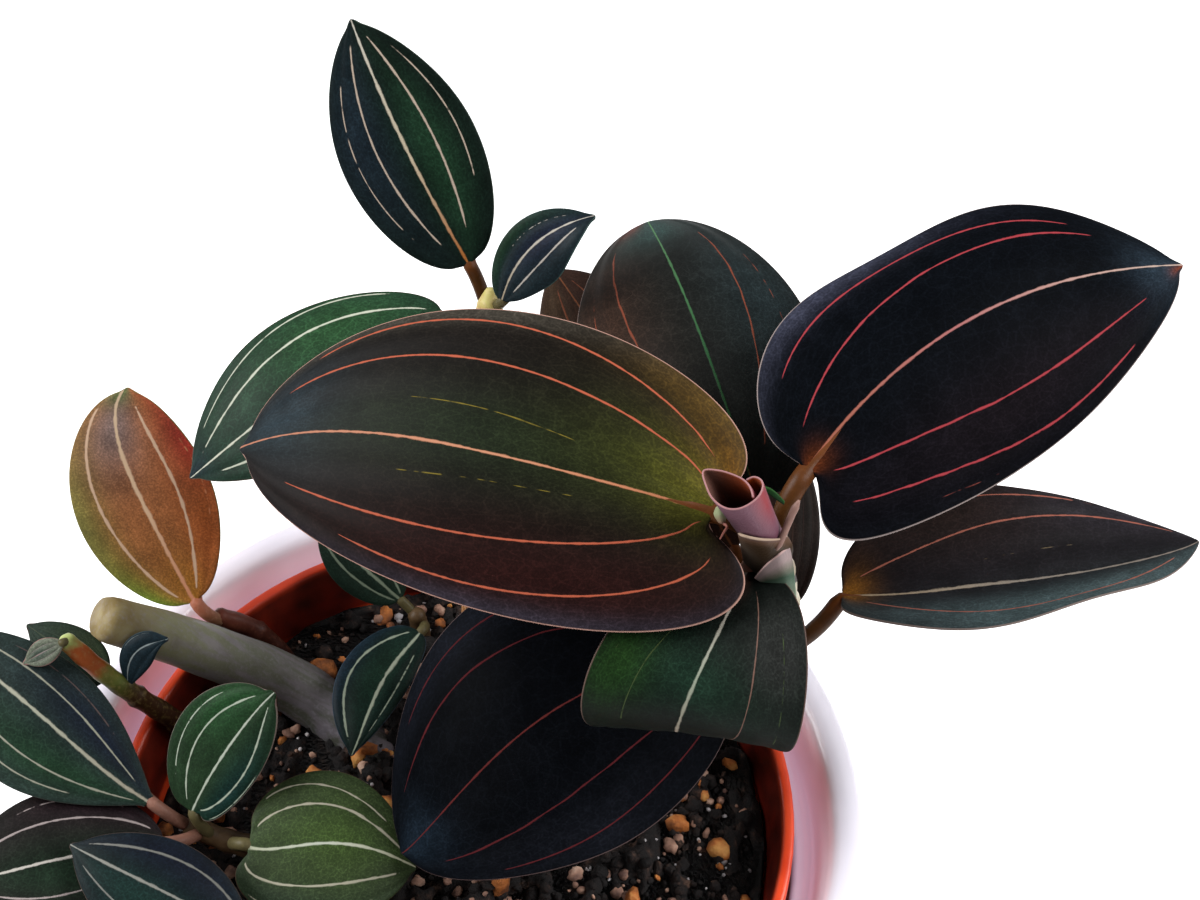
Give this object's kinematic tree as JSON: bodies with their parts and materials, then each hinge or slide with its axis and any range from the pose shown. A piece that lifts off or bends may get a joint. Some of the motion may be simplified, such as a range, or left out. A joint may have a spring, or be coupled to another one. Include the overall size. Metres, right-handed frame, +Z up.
{
  "type": "potted jewel orchid",
  "caption": "Jewel orchid with dark striped velvety leaves on creeping stems, rooted in a nursery pot that stands in a glazed cover pot.",
  "frame": {"origin": "centre of the cover pot's underside", "axes": "+Z up, +X to the plant's right and +Y to its back as it is shown"},
  "size_m": [0.2142, 0.1528, 0.2222],
  "materials": {
    "white_glaze": "glossy glaze",
    "terracotta_plastic": "satin moulded plastic",
    "humus": "rough damp humus with bark and perlite",
    "old_stem_skin": "satin fleshy stem",
    "young_stem_skin": "satin fleshy stem",
    "dark_leaf": "velvety leaf with red veins",
    "green_leaf": "velvety leaf with pale veins",
    "red_leaf_skin": "thin reddish leaf with cream veins",
    "rolled_leaf_skin": "velvety underside of a rolled leaf"
  },
  "bodies": {
    "root": {"outer_pot": "white_glaze", "inner_pot": "terracotta_plastic", "potting_mix": "humus", "old_stem": "old_stem_skin", "main_stem": "young_stem_skin", "tall_stem": "young_stem_skin", "low_stem": "young_stem_skin", "rim_stem": "young_stem_skin", "small_stem": "young_stem_skin", "back_stem": "young_stem_skin", "left_leaf": "dark_leaf", "right_leaf": "dark_leaf", "front_leaf": "dark_leaf", "low_right_leaf": "dark_leaf", "back_leaf": "dark_leaf", "inner_back_leaf": "dark_leaf", "hidden_leaf": "dark_leaf", "low_front_leaf": "dark_leaf", "upright_leaf": "green_leaf", "small_tall_leaf": "green_leaf", "left_tall_leaf": "green_leaf", "red_leaf": "red_leaf_skin", "outer_leaf": "green_leaf", "low_left_leaf": "green_leaf", "near_leaf": "green_leaf", "small_upright_leaf": "green_leaf", "round_leaf": "green_leaf", "pale_rim_leaf": "green_leaf", "dark_rim_leaf": "green_leaf", "inner_rim_leaf": "green_leaf", "small_back_leaf": "green_leaf", "small_front_leaf": "green_leaf", "rolled_leaf": "rolled_leaf_skin"}
  },
  "joints": []
}
